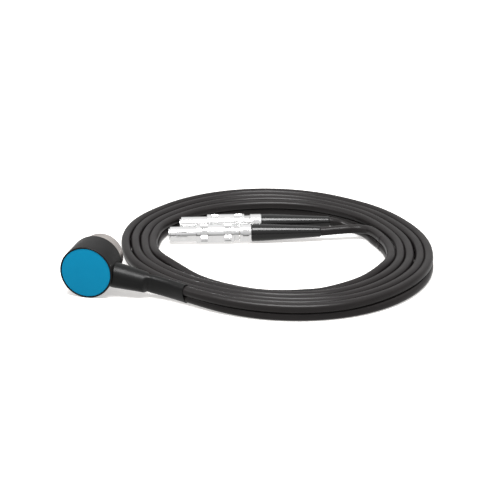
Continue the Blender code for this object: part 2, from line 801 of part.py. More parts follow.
def add_nut_and_collet(stem, materials, axis):
    """The back nut with two spanner flats, and the collet that it closes on the cord."""
    end = NUT_START + NUT_L
    profile = [
        (NUT_BORE_R, NUT_START),
        (NUT_R - SEAT_GAP, NUT_START),
        (NUT_R, NUT_START + SEAT_GAP),
        (NUT_R, end - SEAT_GAP),
        (NUT_R - SEAT_GAP, end),
        (NUT_BORE_R, end),
    ]
    name = stem + "_back_nut"
    nut = add_turned(name, profile, materials["plating"], axis, PLUG_SEGMENTS)
    reach = NUT_R + SEAT_GAP
    for side, word in ((-1.0, "near"), (1.0, "far")):
        low_y, high_y = sorted((side * NUT_FLATS, side * reach))
        flat = box_mesh(
            name + "_flat",
            (-reach, low_y, NUT_START + NUT_FLAT_START),
            (reach, high_y, NUT_START + NUT_FLAT_END))
        cut(nut, add_cutter(name + "_flat_" + word, flat, axis))

    collet_r = NUT_BORE_R - SNUG_GAP
    collet_start = NUT_START + SNUG_GAP
    collet_end = end - BOOT_SPIGOT_L - SNUG_GAP
    collet = [
        (CORD_BORE_R, collet_start),
        (collet_r, collet_start),
        (collet_r, collet_end - SEAT_GAP),
        (collet_r - SEAT_GAP, collet_end),
        (CORD_BORE_R, collet_end),
    ]
    add_turned(stem + "_collet", collet, materials["brass"], axis, SMALL_SEGMENTS)


def add_boot(name, material, axis):
    """Tapered bend relief. Its spigot is held in the nut and the cord runs out of its mouth."""
    start = PLUG_LENGTH
    end = start + BOOT_L
    spigot_r = NUT_BORE_R - SNUG_GAP
    profile = [
        (CORD_BORE_R, start - BOOT_SPIGOT_L),
        (spigot_r, start - BOOT_SPIGOT_L),
        (spigot_r, start),
        (BOOT_ROOT_R - SEAT_GAP, start),
        (BOOT_ROOT_R, start + SEAT_GAP),
        (BOOT_ROOT_R, start + BOOT_WAIST),
        (BOOT_TIP_R + SNUG_GAP, end - SEAT_GAP),
        (BOOT_TIP_R, end),
        (CORD_BORE_R, end),
    ]
    add_turned(name, profile, material, axis, PLUG_SEGMENTS)


def add_plug(stem, tip, heading, materials):
    direction = (math.cos(heading), math.sin(heading), 0.0)
    axis = add_axis(stem + "_axis", (*tip, PLUG_AXIS_Z), direction, PLUG_ROLL)
    plating = materials["plating"]
    add_latch_sleeve(stem + "_latch_sleeve", plating, axis)
    add_plug_core(stem + "_core", plating, axis)
    add_release_sleeve(stem + "_release_sleeve", plating, axis)
    add_contact_set(stem, materials, axis)
    add_nut_and_collet(stem, materials, axis)
    add_boot(stem + "_boot", materials["boot"], axis)


def main():
    clear_scene()
    materials = make_materials()
    probe_axis = add_axis("probe_axis", (0.0, -PROBE_L / 2.0, HOUSING_R), (0.0, 1.0, 0.0))
    add_housing(materials["housing"], probe_axis)
    add_label(materials["label"], probe_axis)
    backing_start = add_wear_end(materials, probe_axis)
    add_matching_network(materials, probe_axis, backing_start)
    add_strain_relief(materials, probe_axis)
    add_coil(materials["jacket"])
    add_lead("lead_front", LEAD_FRONT_ROUTE, CORD_D * 1.5, PLUG_FRONT_TIP, PLUG_FRONT_HEADING,
             materials["jacket"])
    add_lead("lead_rear", LEAD_REAR_ROUTE, CORD_D * 0.5, PLUG_REAR_TIP, PLUG_REAR_HEADING,
             materials["jacket"])
    add_plug("plug_front", PLUG_FRONT_TIP, PLUG_FRONT_HEADING, materials)
    add_plug("plug_rear", PLUG_REAR_TIP, PLUG_REAR_HEADING, materials)


main()
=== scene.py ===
"""Looks of a dual-element ultrasonic thickness probe, its coiled twin lead and its two plugs.

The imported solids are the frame. The pieces here lie where those solids lie: the turned pieces of
the probe and the plugs, the shrunk sleeve, the wound lead and the two single cords.
"""

import json
import math

import bmesh
import bpy
from mathutils import Matrix, Quaternion, Vector


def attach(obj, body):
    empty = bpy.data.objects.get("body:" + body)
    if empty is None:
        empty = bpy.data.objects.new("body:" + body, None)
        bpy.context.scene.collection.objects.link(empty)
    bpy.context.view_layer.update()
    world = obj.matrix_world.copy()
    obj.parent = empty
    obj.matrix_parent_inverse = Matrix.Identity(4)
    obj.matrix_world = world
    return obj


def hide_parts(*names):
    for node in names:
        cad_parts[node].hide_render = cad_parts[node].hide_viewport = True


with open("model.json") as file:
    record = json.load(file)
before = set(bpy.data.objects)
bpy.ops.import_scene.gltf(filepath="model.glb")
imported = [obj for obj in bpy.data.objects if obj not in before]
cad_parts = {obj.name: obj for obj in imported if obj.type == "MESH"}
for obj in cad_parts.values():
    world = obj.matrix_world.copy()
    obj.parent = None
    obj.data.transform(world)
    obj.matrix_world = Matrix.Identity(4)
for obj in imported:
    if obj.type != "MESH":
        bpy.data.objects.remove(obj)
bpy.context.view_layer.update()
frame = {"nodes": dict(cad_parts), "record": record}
NODES = frame["nodes"]

MM = 0.001
PROBE = "probe_and_lead"

# Probe, in millimetres along its axis from the label face
PROBE_L = 16.3
HOUSING_R = 8.25
HOUSING_L = 10.2
BORE_R = 7.15
LABEL_RECESS = 0.7
HOUSING_FLOOR = 1.9
LABEL_SEAT_R = 7.86
LABEL_R = 7.7
LABEL_START = 0.1
LABEL_END = 0.4
NOSE_R = 6.85
NOSE_BORE_R = 6.05
NOSE_START = 8.55
INDUCTOR_ASIDE = 2.875
WINDING_START = -4.66
WINDING_R = 1.33
WINDING_TURNS = 8.0
WIRE_R = 0.11
PROBE_SEGMENTS = 128
EXIT_HOLE_R = 3.3
EXIT_POINT = (8.098, -3.2, 6.676)
EXIT_AXIS = (0.981627, 0.0, -0.190809)

# Sleeve over the ferrule and the twin lead, in millimetres: its middle line, then its sizes
SLEEVE_ROUTE = [
    (7.313, -3.200, 6.450),
    (12.516, -3.200, 5.650),
    (16.933, -3.200, 4.930),
    (21.098, -3.200, 4.250),
    (26.095, -4.150, 3.700),
    (30.900, -5.850, 3.450),
]
SLEEVE_AHEAD = 0.8
FERRULE_L = 9.0
SLEEVE_WALL = 0.2
SLEEVE_LEAN = 20.0
SLEEVE_ROOT_R = 3.95
SLEEVE_STEP_R = 3.25
SLEEVE_HALF_H = 3.3
SLEEVE_HALF_T = 1.75
# Behind the ferrule the sleeve goes from round to flat, and shrinks in most in the step
FLATTENING_L = 1.3
PINCH = 0.14
PINCH_BEHIND = 1.5
PINCH_SPREAD = 0.7

# Twin lead: two squared-off round cords side by side, standing on edge. Millimetres and degrees
CORD_R = 1.46
LOBE_SQUARE = 2.3
TWIN_HALF = 1.36
TWIN_WEB = 0.5
COIL_X = 48.15
COIL_Y = 39.35
COIL_R = 50.7
# A hand-wound coil is a little oval and a little three-sided: how much, and where it is widest
COIL_OVAL = 3.0
COIL_OVAL_AT = -41.5
COIL_LOBE = 0.54
COIL_LOBE_AT = -42.7
# Each turn lies a pitch inside the one before
COIL_PITCH = 3.05
COIL_START = -110.5
COIL_TURNS = 4.373
STEPS_PER_TURN = 150
# At the back the turns lie slack: how far out the outermost one is, how much less the next one
SLACK_OUTER = 1.35
SLACK_PER_TURN = 1.0
SLACK_AT = 116.0
SLACK_SPREAD = 120.0
# At the sleeve's mouth, and how far round the coil (radians) the lead has settled from there
MOUTH_ASIDE = 0.42
MOUTH_RISE = 0.62
MOUTH_END = 0.55
# Over how much of the coil (radians) the lead comes free at its start, and is held at its split
FREE_FROM = 0.8
HELD_FROM = 0.5
# A hand-wound turn is never even: millimetres of wander, waves for each radian, phase
WANDER = ((0.03, 0.83, 0.4), (0.12, 2.0, 2.0))
# The same for its lean, in degrees
LEAN_WANDER = (3.0, 2.37, 1.0)

# Where the innermost turn has rolled over: degrees wound on, and how far it leans
ROLLED_OVER = [
    (1382.0, 0.0),
    (1432.0, 86.0),
    (1462.0, 86.0),
    (1490.0, 72.0),
    (1515.0, 45.0),
    (1546.0, 0.0),
]
# The rolled turn is pressed against its neighbour: degrees wound on, millimetres outward
PRESSED = [(1372.0, 0.0), (1408.0, 1.1), (1436.0, 0.6), (1480.0, 0.0)]

# How far the turns lie outside the even winding: degrees round the coil, millimetres at the
# outermost turn, and millimetres more for each turn further in
SETTLED = [
    (-30.0, 0.0, 0.0),
    (0.0, 0.25, 0.0),
    (16.0, 0.45, 0.06),
    (45.0, 0.10, 0.05),
    (70.0, 0.0, 0.0),
    (150.0, 0.0, 0.0),
    (180.0, 0.50, -0.03),
    (190.0, 0.45, 0.0),
    (221.0, -0.10, 0.27),
    (240.0, -0.10, 0.22),
    (262.0, 0.0, 0.12),
    (300.0, 0.0, 0.14),
    (330.0, 0.0, 0.0),
]
# How far the turns lean out at the top: degrees round the coil, degrees of lean
SWAY = [
    (-30.0, -12.0),
    (0.0, 0.0),
    (45.0, 0.0),
    (75.0, -16.0),
    (150.0, -16.0),
    (178.0, 0.0),
    (190.0, 4.0),
    (215.0, 24.0),
    (240.0, 20.0),
    (262.0, 12.0),
    (300.0, 10.0),
    (330.0, -12.0),
]

# Plugs, in millimetres along each plug's axis from its tip
PLUG_HEADING = 16.6
PLUG_ROLL = 73.0
PLUG_Z = 3.25
PLUG_TIPS = {"front": (11.45, 41.7), "rear": (12.55, 51.5)}
BARREL_START = 0.5
BARREL_END = 10.2
BARREL_R = 2.5
BARREL_BORE = 2.15
TONGUE_HALF_W = 0.9
TONGUE_START = 2.35
TONGUE_END = 6.2
SLOT_W = 0.25
# The core: a front tube, a collar under the release sleeve, a shank and the threaded neck
CORE_R = 1.85
CORE_BORE = 1.5
SHOULDER_R = 2.35
SHOULDER_START = 10.35
SHOULDER_END = 11.55
RELEASE_R = 3.2
RELEASE_BORE = 2.65
RELEASE_START = 9.15
RELEASE_END = 21.75
GRIP_BANDS = ((10.5, 13.1), (18.3, 20.9))
GRIP_DEPTH = 0.14
GRIP_BEVEL = 0.15
RIDGE_COUNT = 64
RIDGE_W = 0.17
RIDGE_CLEAR = 0.5
NECK_START = 21.4
NECK_L = 2.0
NECK_R = 2.55
THREAD_TURNS = 4.0
THREAD_START = 0.35
THREAD_L = 1.4
THREAD_SUNK = 0.04
THREAD_CREST_R = 0.13
NUT_START = 23.55
NUT_END = 27.35
NUT_R = 3.05
NUT_BORE = 2.2
NUT_FLATS = 2.75
FLATS_START = 0.95
FLATS_END = 3.05
BOOT_START = 27.5
BOOT_END = 50.5
BOOT_R = 2.9
BOOT_BORE = 1.4
BOOT_SPIGOT_R = 2.05
BOOT_SPIGOT_L = 1.6

# The two cords from the split to their plugs, in millimetres
LEAD_ROUTES = {
    "front": [
        (77.75, 56.8, 4.1),
        (75.35, 59.4, 3.85),
        (71.95, 60.3, 3.65),
        (68.05, 58.9, 3.7),
        (64.05, 57.5, 3.5),
    ],
    "rear": [
        (77.75, 56.8, 1.45),
        (75.3, 60.6, 1.45),
        (72.15, 64.0, 1.45),
        (68.45, 66.2, 1.6),
        (64.95, 67.1, 2.2),
    ],
}

# Camera, in millimetres
CAMERA_PLACE = (152.0, -428.237, 190.581)
CAMERA_AIM = (39.055, 42.212, 0.0)
CAMERA_LENS = 114.2


# Materials

MATHS = "ShaderNodeMath"


def srgb(code):
    """Linear colour from an sRGB hex value."""
    values = [int(code[place:place + 2], 16) / 255.0 for place in (1, 3, 5)]
    linear = [v / 12.92 if v <= 0.04045 else ((v + 0.055) / 1.055) ** 2.4 for v in values]
    return (*linear, 1.0)


def add_node(tree, kind, settings=None, links=None):
    """One node. Settings are its properties or the values of its sockets. Links are what feeds its
    sockets: an output, or a node, of which the first output is meant."""
    node = tree.nodes.new(kind)
    for key, value in (settings or {}).items():
        if isinstance(key, str) and hasattr(node, key):
            setattr(node, key, value)
        else:
            node.inputs[key].default_value = value
    for key, source in (links or {}).items():
        output = source.outputs[0] if isinstance(source, bpy.types.Node) else source
        tree.links.new(output, node.inputs[key])
    return node


def start_material(name):
    material = bpy.data.materials.new(name)
    material.use_nodes = True
    tree = material.node_tree
    tree.nodes.clear()
    shader = add_node(tree, "ShaderNodeBsdfPrincipled")
    add_node(tree, "ShaderNodeOutputMaterial", links={"Surface": shader.outputs["BSDF"]})
    coords = add_node(tree, "ShaderNodeTexCoord")
    return material, tree, shader, coords


def ease(share):
    """From 0 to 1 with a soft start and a soft end."""
    return share * share * (3.0 - 2.0 * share)


def per_mm(size):
    """Texture scale for a pattern whose features are this many millimetres across."""
    return 1.0 / (size * MM)


def finish_surface(tree, shader, tone, dark, light, shine, low, high, height, depth_mm):
    """Three patterns made into colour, roughness and relief."""
    colour = add_node(
        tree, "ShaderNodeMix", {"data_type": "RGBA", 6: srgb(dark), 7: srgb(light)}, {0: tone})
    rough = add_node(
        tree, "ShaderNodeMapRange",
        {"From Min": 0.3, "From Max": 0.7, "To Min": low, "To Max": high}, {"Value": shine})
    relief = add_node(
        tree, "ShaderNodeBump", {"Strength": 1.0, "Distance": depth_mm * MM}, {"Height": height})
    tree.links.new(colour.outputs[2], shader.inputs["Base Color"])
    tree.links.new(rough.outputs["Result"], shader.inputs["Roughness"])
    tree.links.new(relief.outputs["Normal"], shader.inputs["Normal"])


def moulded(name, dark, light, grain_mm, depth_mm, rough, patch_mm, gloss):
    """Moulded or drawn plastic: the tool's grain as bump, handling as smoother, paler patches."""
    material, tree, shader, coords = start_material(name)
    shader.inputs["Specular IOR Level"].default_value = gloss
    grain = add_node(
        tree, "ShaderNodeTexNoise", {"Scale": per_mm(grain_mm), "Detail": 3.0},
        {"Vector": coords.outputs["Object"]})
    patches = add_node(
        tree, "ShaderNodeTexNoise", {"Scale": per_mm(patch_mm), "Detail": 4.0, "Roughness": 0.6},
        {"Vector": coords.outputs["Object"]})
    finish_surface(
        tree, shader, patches.outputs["Fac"], dark, light,
        patches.outputs["Fac"], rough + 0.05, rough - 0.05, grain.outputs["Fac"], depth_mm)
    return material


def turned_metal(name, dark, light, feed_mm, depth_mm, rough):
    """Turned metal: fine feed lines round the axis, from the piece's own UV map."""
    material, tree, shader, coords = start_material(name)
    shader.inputs["Metallic"].default_value = 1.0
    split = add_node(tree, "ShaderNodeSeparateXYZ", links={"Vector": coords.outputs["UV"]})
    lines = add_node(
        tree, "ShaderNodeTexNoise",
        {"noise_dimensions": "1D", "Scale": per_mm(feed_mm), "Detail": 2.0},
        {"W": split.outputs["Y"]})
    smears = add_node(
        tree, "ShaderNodeTexNoise", {"Scale": per_mm(2.5), "Detail": 3.0},
        {"Vector": coords.outputs["Object"]})
    finish_surface(
        tree, shader, smears.outputs["Fac"], dark, light,
        lines.outputs["Fac"], rough - 0.04, rough + 0.06, lines.outputs["Fac"], depth_mm)
    return material


def extruded_jacket(name, dark, light, rough, gloss):
    """Extruded soft PVC: die lines that run with the cord, from the swept section's own place."""
    material, tree, shader, coords = start_material(name)
    shader.inputs["Specular IOR Level"].default_value = gloss
    section = add_node(
        tree, "ShaderNodeAttribute", {"attribute_type": "GEOMETRY", "attribute_name": "section"})
    # Die lines are about 0.05 mm apart, drawn 0.3 mm apart so that they show
    die_lines = add_node(
        tree, "ShaderNodeTexNoise", {"Scale": per_mm(0.3), "Detail": 1.0},
        {"Vector": section.outputs["Vector"]})
    mottle = add_node(
        tree, "ShaderNodeTexNoise", {"Scale": per_mm(7.0), "Detail": 4.0, "Roughness": 0.6},
        {"Vector": coords.outputs["Object"]})
    skin = add_node(
        tree, "ShaderNodeTexNoise", {"Scale": per_mm(0.35), "Detail": 2.0},
        {"Vector": coords.outputs["Object"]})
    height = add_node(
        tree, MATHS, {"operation": "MULTIPLY_ADD", 1: 0.35},
        {0: skin.outputs["Fac"], 2: die_lines.outputs["Fac"]})
    finish_surface(
        tree, shader, mottle.outputs["Fac"], dark, light,
        mottle.outputs["Fac"], rough + 0.04, rough - 0.04, height.outputs["Value"], 0.025)
    return material


def plain_solid(name, dark, light, grain_mm, depth_mm, rough, metallic=0.0):
    """A ground, sintered, cut or potted piece: one even grain through the whole of it."""
    material, tree, shader, coords = start_material(name)
    shader.inputs["Metallic"].default_value = metallic
    grain = add_node(
        tree, "ShaderNodeTexNoise", {"Scale": per_mm(grain_mm), "Detail": 5.0, "Roughness": 0.6},
        {"Vector": coords.outputs["Object"]})
    finish_surface(
        tree, shader, grain.outputs["Fac"], dark, light,
        grain.outputs["Fac"], rough - 0.05, rough + 0.05, grain.outputs["Fac"], depth_mm)
    return material


MATERIALS = {
    # ABS moulded in a spark-eroded tool: satin black, with a grain that breaks up the highlight.
    # The grain is 0.05 mm on such a housing, drawn 0.18 mm so that it shows
    "housing": moulded("moulded_black_abs", "#0f0f0f", "#161515", 0.18, 0.012, 0.38, 5.0, 0.18),
    # Polyester film printed on its back: an even, saturated blue with hardly any sheen
    "label": moulded("printed_polyester_film", "#057da6", "#0884ac", 0.40, 0.003, 0.45, 9.0, 0.08),
    # Stainless steel turned on a lathe: fine rings round the axis that draw the light out
    "steel": turned_metal("turned_stainless_steel", "#c4bdb9", "#d2cbc6", 0.12, 0.004, 0.30),
    # Polyetherimide lapped flat on its end: clear amber tone with a nearly polished face
    "delay": plain_solid("lapped_polyetherimide", "#8a5318", "#a5671f", 1.2, 0.002, 0.22),
    # Cork cut from sheet: matt brown crumbs with dark pores
    "cork": plain_solid("cut_cork_sheet", "#6b4a30", "#a37a52", 0.35, 0.060, 0.90),
    # Silver paste fired on ceramic: a dull, slightly grainy pale metal
    "piezo": plain_solid("fired_silver_electrode", "#b9b4aa", "#d3cec4", 0.20, 0.004, 0.45, 0.8),
    # Epoxy cast full of tungsten powder: heavy dark grey without gloss
    "backing": plain_solid("cast_tungsten_epoxy", "#3b3b3e", "#54545a", 0.15, 0.010, 0.75),
    # Pressed glass and epoxy under green solder mask: even green with a woven unevenness
    "board": plain_solid("masked_glass_epoxy", "#1d5a30", "#2a6e3b", 0.40, 0.008, 0.42),
    # Ferrite pressed and sintered: grey black and slightly rough
    "ferrite": plain_solid("sintered_ferrite", "#303032", "#47474a", 0.10, 0.010, 0.60),
    # Brass turned and left bare: warm yellow metal
    "brass": plain_solid("turned_brass", "#b08a3c", "#cda858", 0.30, 0.004, 0.32, 1.0),
    # Polyolefin tube shrunk by hot air: black, with soft waves under a broad, dull highlight
    "shrink": moulded("shrunk_polyolefin", "#0f0f0f", "#151515", 1.1, 0.020, 0.34, 3.0, 0.17),
    # Soft PVC extruded over the cord: dark grey satin, a little paler and smoother in patches
    "jacket": extruded_jacket("extruded_soft_pvc", "#181616", "#221f1f", 0.33, 0.20),
    # Brass turned, then chrome plated: near white, with sharp dark lines where edges turn away
    "plating": turned_metal("chrome_on_turned_brass", "#e6e6e6", "#f4f4f4", 0.10, 0.002, 0.13),
    # PTFE turned from rod: waxy white
    "insulator": plain_solid("turned_ptfe", "#e4e2dc", "#f0eee9", 0.50, 0.003, 0.45),
    # Gold plated over a turned pin: warm, smooth and bright
    "contact": plain_solid("gold_plated_pin", "#d9b25a", "#ecc873", 0.30, 0.002, 0.20, 1.0),
    # Polyurethane moulded in a polished tool: deep black with a sharp highlight line
    "boot": moulded("moulded_polyurethane", "#0f0f0f", "#141414", 1.2, 0.001, 0.18, 4.0, 0.40),
    # Copper wire under clear enamel: reddish brown with a varnish sheen
    "copper": plain_solid("enamelled_copper_wire", "#8d4a25", "#a85d32", 0.5, 0.002, 0.30, 1.0),
}


# Mesh building

def add_object(name, data):
    item = bpy.data.objects.new(name, data)
    bpy.context.scene.collection.objects.link(item)
    return item


def add_piece(name, mesh, slot, body, replaced=()):
    """A finished piece: its place is in its mesh, and it rides on one body."""
    piece = add_object(name, mesh)
    if not mesh.materials:
        mesh.materials.append(MATERIALS[slot])
    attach(piece, body)
    if replaced:
        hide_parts(*replaced)
    return piece


def place_on(origin, direction, roll=0.0):
    """The matrix that puts a turned piece on its axis: +Z along it, from a point in millimetres."""
    turn = Vector(direction).to_track_quat("Z", "Y")
    turn = turn @ Quaternion((0.0, 0.0, 1.0), math.radians(roll))
    return Matrix.Translation(Vector(origin) * MM) @ turn.to_matrix().to_4x4()


PROBE_PLACE = place_on((0.0, -PROBE_L / 2.0, HOUSING_R), (0.0, 1.0, 0.0))
PLUG_DIRECTION = Vector((
    math.cos(math.radians(PLUG_HEADING)), math.sin(math.radians(PLUG_HEADING)), 0.0))
PLUG_PLACES = {
    word: place_on((*tip, PLUG_Z), PLUG_DIRECTION, PLUG_ROLL) for word, tip in PLUG_TIPS.items()}


def eased(corners):
    """A profile of (radius, along) points from corners of (radius, along, fillet)."""
    closed = corners[0][0] != 0.0
    points = []
    count = len(corners)
    for index, (radius, along, fillet) in enumerate(corners):
        here = Vector((radius, along))
        if fillet == 0.0 or (not closed and index in (0, count - 1)):
            points.append(here)
            continue
        before = Vector(corners[index - 1][:2]) - here
        after = Vector(corners[(index + 1) % count][:2]) - here
        start = here + before.normalized() * min(fillet, before.length * 0.48)
        end = here + after.normalized() * min(fillet, after.length * 0.48)
        for step in range(6):
            t = step / 5.0
            points.append(start * (1 - t) ** 2 + here * 2 * t * (1 - t) + end * t ** 2)
    return points


def close_mesh(name, shape, smooth_angle=35.0):
    bmesh.ops.recalc_face_normals(shape, faces=shape.faces)
    mesh = bpy.data.meshes.new(name)
    shape.to_mesh(mesh)
    shape.free()
    mesh.shade_smooth()
    mesh.set_sharp_from_angle(angle=math.radians(smooth_angle))
    return mesh


def turned_mesh(name, corners, place, segments=96):
    """Revolve eased corners, in millimetres, about +Z. V of the UV map is metres of profile."""
    profile = eased(corners)
    shape = bmesh.new()
    uv = shape.loops.layers.uv.new("turned")
    rings = []
    lengths = []
    run = 0.0
    for index, point in enumerate(profile):
        if index:
            run += (point - profile[index - 1]).length * MM
        lengths.append(run)
        if point.x == 0.0:
            rings.append([shape.verts.new((0.0, 0.0, point.y * MM))] * segments)
            continue
        ring = []
        for step in range(segments):
            angle = 2.0 * math.pi * step / segments
            ring.append(shape.verts.new(
                (point.x * MM * math.cos(angle), point.x * MM * math.sin(angle), point.y * MM)))
        rings.append(ring)
    pairs = [(place_index, place_index + 1) for place_index in range(len(rings) - 1)]
    if profile[0].x != 0.0:
        pairs.append((len(rings) - 1, 0))
    for low, high in pairs:
        top = lengths[high] if high else run + (profile[0] - profile[-1]).length * MM
        for step in range(segments):
            after = (step + 1) % segments
            corners_here = [
                (rings[low][step], step, lengths[low]),
                (rings[low][after], step + 1, lengths[low]),
                (rings[high][after], step + 1, top),
                (rings[high][step], step, top),
            ]
            kept = []
            for corner in corners_here:
                if corner[0] not in [other[0] for other in kept]:
                    kept.append(corner)
            face = shape.faces.new([corner[0] for corner in kept])
            for loop, corner in zip(face.loops, kept):
                loop[uv].uv = (corner[1] / segments, corner[2])
    mesh = close_mesh(name, shape)
    mesh.transform(place)
    return mesh


# Geometry Nodes: cords swept along a route, helices and rings of ridges

def start_tree(name, inputs):
    """A new tree with a geometry input, named inputs and a material. Gives the socket ids too."""
    tree = bpy.data.node_groups.new(name, "GeometryNodeTree")
    panel = tree.interface
    panel.new_socket("Geometry", in_out="INPUT", socket_type="NodeSocketGeometry")
    sockets = {}
    for label, kind in {**inputs, "Material": "NodeSocketMaterial"}.items():
        sockets[label] = panel.new_socket(label, in_out="INPUT", socket_type=kind).identifier
    panel.new_socket("Geometry", in_out="OUTPUT", socket_type="NodeSocketGeometry")
    return tree, add_node(tree, "NodeGroupInput").outputs, sockets


def end_tree(tree, geometry, given):
    real = add_node(tree, "GeometryNodeRealizeInstances", links={"Geometry": geometry})
    dressed = add_node(
        tree, "GeometryNodeSetMaterial",
        links={"Geometry": real.outputs["Geometry"], "Material": given["Material"]})
    add_node(tree, "NodeGroupOutput", links={"Geometry": dressed.outputs["Geometry"]})


def squared_round(tree, angle, radius):
    """Cosine and sine of an angle, and how far a squared-off round reaches there."""
    cosine = add_node(tree, MATHS, {"operation": "COSINE"}, {0: angle})
    sine = add_node(tree, MATHS, {"operation": "SINE"}, {0: angle})
    powers = []
    for term in (cosine, sine):
        size = add_node(tree, MATHS, {"operation": "ABSOLUTE"}, {0: term})
        powers.append(add_node(tree, MATHS, {"operation": "POWER", 1: LOBE_SQUARE}, {0: size}))
    total = add_node(tree, MATHS, {"operation": "ADD"}, {0: powers[0], 1: powers[1]})
    spread = add_node(tree, MATHS, {"operation": "POWER", 1: -1.0 / LOBE_SQUARE}, {0: total})
    reach = add_node(tree, MATHS, {"operation": "MULTIPLY"}, {0: spread, 1: radius})
    return cosine, sine, reach


def moved_circle(tree, circle, across, up):
    """The circle's points, each moved to its own place in the section."""
    place = add_node(tree, "ShaderNodeCombineXYZ", links={"X": across, "Y": up})
    return add_node(tree, "GeometryNodeSetPosition", links={
        "Geometry": circle, "Position": place})


def single_profile(tree, given):
    """One squared-off round."""
    steps = 28
    circle = add_node(tree, "GeometryNodeCurvePrimitiveCircle", {"Resolution": steps})
    index = add_node(tree, "GeometryNodeInputIndex")
    angle = add_node(
        tree, MATHS, {"operation": "MULTIPLY", 1: 2.0 * math.pi / steps}, {0: index})
    cosine, sine, reach = squared_round(tree, angle, given["Cord radius"])
    across = add_node(tree, MATHS, {"operation": "MULTIPLY"}, {0: cosine, 1: reach})
    up = add_node(tree, MATHS, {"operation": "MULTIPLY"}, {0: sine, 1: reach})
    return moved_circle(tree, circle, across, up)


def twin_profile(tree, given):
    """Two squared-off rounds joined by a narrow web, as one closed profile."""
    steps = 24
    circle = add_node(tree, "GeometryNodeCurvePrimitiveCircle", {"Resolution": 2 * steps})
    index = add_node(tree, "GeometryNodeInputIndex")
    # The first half of the points goes round the upper cord, the rest round the lower one
    halves = add_node(tree, MATHS, {"operation": "DIVIDE", 1: float(steps)}, {0: index})
    lobe = add_node(tree, MATHS, {"operation": "FLOOR"}, {0: halves})
    sign = add_node(tree, MATHS, {"operation": "MULTIPLY_ADD", 1: -2.0, 2: 1.0}, {0: lobe})
    step = add_node(tree, MATHS, {"operation": "MODULO", 1: float(steps)}, {0: index})
    share = add_node(tree, MATHS, {"operation": "DIVIDE", 1: steps - 1.0}, {0: step})
    # Each round stops where the web meets it
    ratio = add_node(
        tree, MATHS, {"operation": "DIVIDE"}, {0: given["Web"], 1: given["Cord radius"]})
    dip = add_node(tree, MATHS, {"operation": "ARCSINE"}, {0: ratio})
    sweep = add_node(
        tree, MATHS, {"operation": "MULTIPLY_ADD", 1: -2.0, 2: 2.0 * math.pi}, {0: dip})
    begin = add_node(tree, MATHS, {"operation": "ADD", 1: -math.pi / 2.0}, {0: dip})
    angle = add_node(
        tree, MATHS, {"operation": "MULTIPLY_ADD"}, {0: share, 1: sweep, 2: begin})
    cosine, sine, reach = squared_round(tree, angle, given["Cord radius"])
    across = add_node(tree, MATHS, {"operation": "MULTIPLY"}, {0: cosine, 1: reach})
    up = add_node(
        tree, MATHS, {"operation": "MULTIPLY_ADD"}, {0: sine, 1: reach, 2: given["Half spacing"]})
    across = add_node(tree, MATHS, {"operation": "MULTIPLY"}, {0: across, 1: sign})
    up = add_node(tree, MATHS, {"operation": "MULTIPLY"}, {0: up, 1: sign})
    return moved_circle(tree, circle, across, up)


def cord_tree(twin):
    """Sweeps a cord's section along a line of points. The section may lean at each point."""
    tree, given, sockets = start_tree("lay_twin_cord" if twin else "lay_single_cord", {
        "Cord radius": "NodeSocketFloat",
        "Half spacing": "NodeSocketFloat",
        "Web": "NodeSocketFloat"})
    line = add_node(tree, "GeometryNodeMeshToCurve", links={"Mesh": given["Geometry"]})
    upright = add_node(
        tree, "GeometryNodeSetCurveNormal", {"mode": "Z_UP"}, {"Curve": line.outputs["Curve"]})
    lean = add_node(
        tree, "GeometryNodeInputNamedAttribute", {"data_type": "FLOAT", "Name": "lean"})
    leaned = add_node(tree, "GeometryNodeSetCurveTilt", links={
        "Curve": upright.outputs["Curve"], "Tilt": lean.outputs[0]})
    if twin:
        profile = twin_profile(tree, given)
    else:
        profile = single_profile(tree, given)
    place = add_node(tree, "GeometryNodeInputPosition")
    marked = add_node(
        tree, "GeometryNodeStoreNamedAttribute",
        {"data_type": "FLOAT_VECTOR", "domain": "POINT", "Name": "section"},
        {"Geometry": profile, "Value": place.outputs[0]})
    skin = add_node(
        tree, "GeometryNodeCurveToMesh", {"Fill Caps": True},
        {"Curve": leaned.outputs["Curve"], "Profile Curve": marked.outputs["Geometry"]})
    end_tree(tree, skin.outputs["Mesh"], given)
    return tree, sockets


def helix_tree():
    """A round wire wound as a helix about +Z: a thread's crest or a winding."""
    tree, given, sockets = start_tree("wind_helix", {
        "Turns": "NodeSocketFloat",
        "Helix radius": "NodeSocketFloat",
        "Height": "NodeSocketFloat",
        "Wire radius": "NodeSocketFloat"})
    path = add_node(
        tree, "GeometryNodeCurveSpiral", {"Resolution": 40},
        {"Rotations": given["Turns"], "Start Radius": given["Helix radius"],
         "End Radius": given["Helix radius"], "Height": given["Height"]})
    wire = add_node(
        tree, "GeometryNodeCurvePrimitiveCircle", {"Resolution": 8},
        {"Radius": given["Wire radius"]})
    skin = add_node(
        tree, "GeometryNodeCurveToMesh", {"Fill Caps": True},
        {"Curve": path.outputs["Curve"], "Profile Curve": wire.outputs["Curve"]})
    end_tree(tree, skin.outputs["Mesh"], given)
    return tree, sockets


